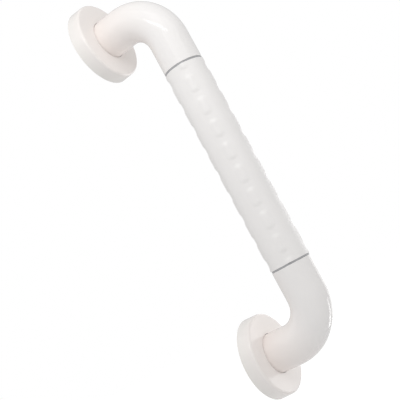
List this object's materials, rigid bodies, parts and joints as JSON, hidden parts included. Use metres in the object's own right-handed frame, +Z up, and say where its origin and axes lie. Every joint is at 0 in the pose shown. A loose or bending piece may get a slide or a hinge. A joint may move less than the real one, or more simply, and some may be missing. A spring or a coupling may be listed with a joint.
{
  "type": "grab bar",
  "caption": "Wall-mounted grab bar with a bumpy white grip, moulded elbows, grey trim rings and press-on covers that slide out along the legs to bare the screw plates.",
  "frame": {"origin": "on the wall plane, midway between the two wall plates", "axes": "+Z up along the bar, +Y into the wall, so the bar stands out towards -Y"},
  "size_m": [0.0724, 0.0825, 0.38],
  "materials": {
    "core_steel": "drawn",
    "plate_steel": "brushed",
    "grip_white": "satin",
    "elbow_white": "gloss",
    "cover_white": "gloss",
    "ring_grey": "satin"
  },
  "bodies": {
    "bar": {"core_tube": "core_steel", "grip_sleeve": "grip_white", "upper_elbow": "elbow_white", "lower_elbow": "elbow_white", "upper_ring": "ring_grey", "lower_ring": "ring_grey", "upper_wall_plate": "plate_steel", "lower_wall_plate": "plate_steel"},
    "upper_cover": {"upper_cover": "cover_white"},
    "lower_cover": {"lower_cover": "cover_white"}
  },
  "joints": [
    {"name": "upper_cover_slide", "type": "slide", "parent": "bar", "child": "upper_cover", "axis": [0, -1, 0], "range_m": [0, 0.016]},
    {"name": "lower_cover_slide", "type": "slide", "parent": "bar", "child": "lower_cover", "axis": [0, -1, 0], "range_m": [0, 0.016]}
  ]
}
